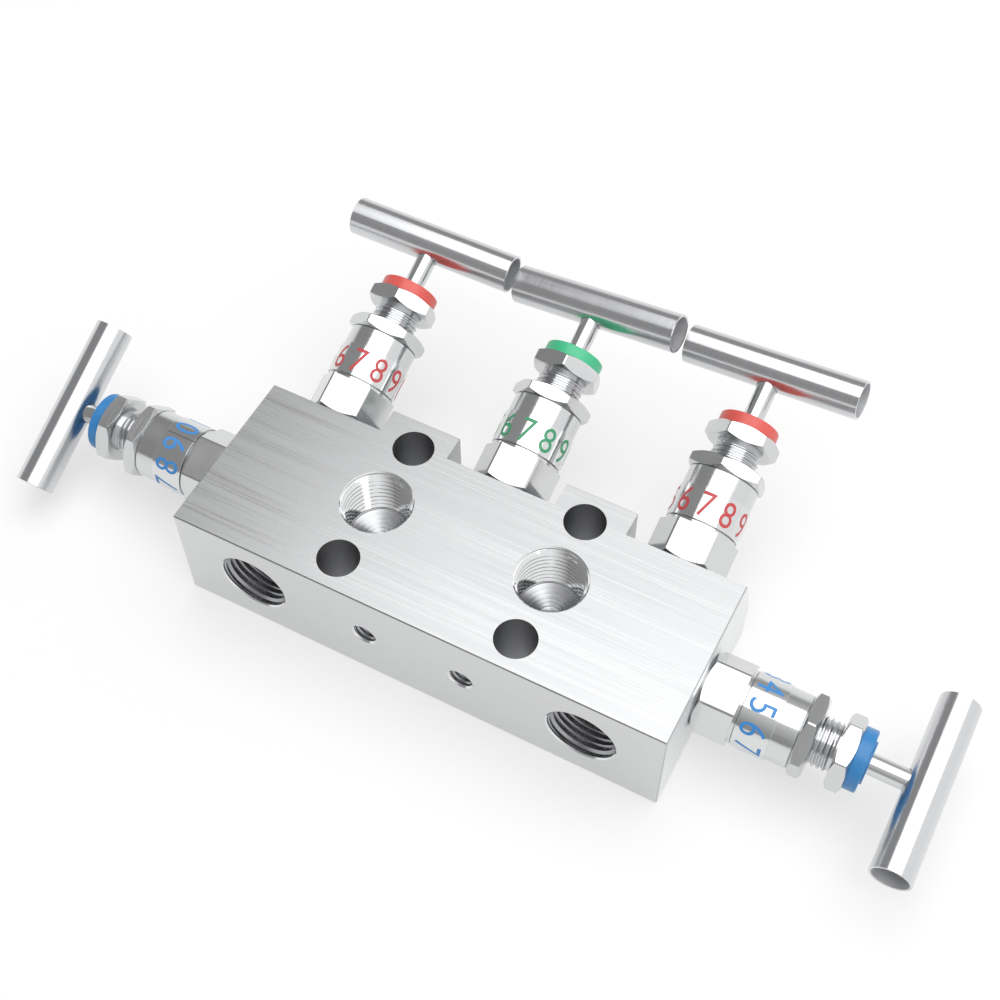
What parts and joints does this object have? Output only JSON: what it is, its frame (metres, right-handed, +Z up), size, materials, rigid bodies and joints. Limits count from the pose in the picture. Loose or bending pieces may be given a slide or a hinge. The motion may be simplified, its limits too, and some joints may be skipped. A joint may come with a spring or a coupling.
{
  "type": "instrument valve manifold",
  "caption": "Drilled steel manifold block with screwed-in isolate, drain and equalise needle valves, each turned by a T-handle.",
  "frame": {"origin": "middle of the block's underside, halfway between the two port axes", "axes": "+X along the block to the right isolate valve, +Y towards the drain and equalise valves, +Z up out of the process ports"},
  "size_m": [0.2797, 0.1224, 0.0556],
  "materials": {
    "block_steel": "ground, grain along X",
    "turned_steel": "fine turned",
    "sleeve_steel": "polished",
    "nut_steel": "milled hexagons",
    "stem_steel": "polished",
    "handle_steel": "polished along the tube",
    "packing_ptfe": "PTFE",
    "cap_blue": "moulded",
    "cap_red": "moulded",
    "cap_green": "moulded"
  },
  "bodies": {
    "root": {"manifold_block": "block_steel", "bonnet_gaskets": "packing_ptfe", "isolate_left_bonnet": "turned_steel", "isolate_left_marker_sleeve": "sleeve_steel", "isolate_left_lock_nut": "nut_steel", "isolate_left_gland_screw": "nut_steel", "isolate_left_dust_cap": "cap_blue", "isolate_left_packing": "packing_ptfe", "isolate_left_packing_washers": "turned_steel", "isolate_right_bonnet": "turned_steel", "isolate_right_marker_sleeve": "sleeve_steel", "isolate_right_lock_nut": "nut_steel", "isolate_right_gland_screw": "nut_steel", "isolate_right_dust_cap": "cap_blue", "isolate_right_packing": "packing_ptfe", "isolate_right_packing_washers": "turned_steel", "drain_left_bonnet": "turned_steel", "drain_left_marker_sleeve": "sleeve_steel", "drain_left_lock_nut": "nut_steel", "drain_left_gland_screw": "nut_steel", "drain_left_dust_cap": "cap_red", "drain_left_packing": "packing_ptfe", "drain_left_packing_washers": "turned_steel", "drain_right_bonnet": "turned_steel", "drain_right_marker_sleeve": "sleeve_steel", "drain_right_lock_nut": "nut_steel", "drain_right_gland_screw": "nut_steel", "drain_right_dust_cap": "cap_red", "drain_right_packing": "packing_ptfe", "drain_right_packing_washers": "turned_steel", "equalize_bonnet": "turned_steel", "equalize_marker_sleeve": "sleeve_steel", "equalize_lock_nut": "nut_steel", "equalize_gland_screw": "nut_steel", "equalize_dust_cap": "cap_green", "equalize_packing": "packing_ptfe", "equalize_packing_washers": "turned_steel"},
    "isolate_left_tip": {"isolate_left_needle_tip": "stem_steel"},
    "isolate_left_spindle": {"isolate_left_stem": "stem_steel", "isolate_left_t_handle": "handle_steel"},
    "isolate_right_tip": {"isolate_right_needle_tip": "stem_steel"},
    "isolate_right_spindle": {"isolate_right_stem": "stem_steel", "isolate_right_t_handle": "handle_steel"},
    "drain_left_tip": {"drain_left_needle_tip": "stem_steel"},
    "drain_left_spindle": {"drain_left_stem": "stem_steel", "drain_left_t_handle": "handle_steel"},
    "drain_right_tip": {"drain_right_needle_tip": "stem_steel"},
    "drain_right_spindle": {"drain_right_stem": "stem_steel", "drain_right_t_handle": "handle_steel"},
    "equalize_tip": {"equalize_needle_tip": "stem_steel"},
    "equalize_spindle": {"equalize_stem": "stem_steel", "equalize_t_handle": "handle_steel"}
  },
  "joints": [
    {"name": "isolate_left_lift", "type": "slide", "parent": "root", "child": "isolate_left_tip", "axis": [-1, 0, 0], "range_m": [-0.00035, 0.00665]},
    {"name": "isolate_left_turn", "type": "hinge", "parent": "isolate_left_tip", "child": "isolate_left_spindle", "pos_m": [-0.0745, -0.003, 0.02], "axis": [-1, 0, 0], "range_deg": [-100.7, 1915.2]},
    {"name": "isolate_right_lift", "type": "slide", "parent": "root", "child": "isolate_right_tip", "axis": [1, 0, 0], "range_m": [-0.00505, 0.00195]},
    {"name": "isolate_right_turn", "type": "hinge", "parent": "isolate_right_tip", "child": "isolate_right_spindle", "pos_m": [0.0745, -0.003, 0.02], "axis": [1, 0, 0], "range_deg": [-1454.4, 561.6]},
    {"name": "drain_left_lift", "type": "slide", "parent": "root", "child": "drain_left_tip", "axis": [0, 0.9397, 0.342], "range_m": [-0.0049, 0.0021]},
    {"name": "drain_left_turn", "type": "hinge", "parent": "drain_left_tip", "child": "drain_left_spindle", "pos_m": [-0.055, 0.0261, 0.02472], "axis": [0, 0.9397, 0.342], "range_deg": [-1411.2, 604.8]},
    {"name": "drain_right_lift", "type": "slide", "parent": "root", "child": "drain_right_tip", "axis": [0, 0.9397, 0.342], "range_m": [-0.0062, 0.0008]},
    {"name": "drain_right_turn", "type": "hinge", "parent": "drain_right_tip", "child": "drain_right_spindle", "pos_m": [0.055, 0.0261, 0.02472], "axis": [0, 0.9397, 0.342], "range_deg": [-1785.6, 230.4]},
    {"name": "equalize_lift", "type": "slide", "parent": "root", "child": "equalize_tip", "axis": [0, 0.9397, 0.342], "range_m": [-0.00475, 0.00225]},
    {"name": "equalize_turn", "type": "hinge", "parent": "equalize_tip", "child": "equalize_spindle", "pos_m": [0, 0.0261, 0.02472], "axis": [0, 0.9397, 0.342], "range_deg": [-1368, 648]}
  ],
  "couplings": [
    {"joint": "isolate_left_lift", "follows": "isolate_left_turn", "m_per_rad": 0.00019894},
    {"joint": "isolate_right_lift", "follows": "isolate_right_turn", "m_per_rad": 0.00019894},
    {"joint": "drain_left_lift", "follows": "drain_left_turn", "m_per_rad": 0.00019894},
    {"joint": "drain_right_lift", "follows": "drain_right_turn", "m_per_rad": 0.00019894},
    {"joint": "equalize_lift", "follows": "equalize_turn", "m_per_rad": 0.00019894}
  ]
}
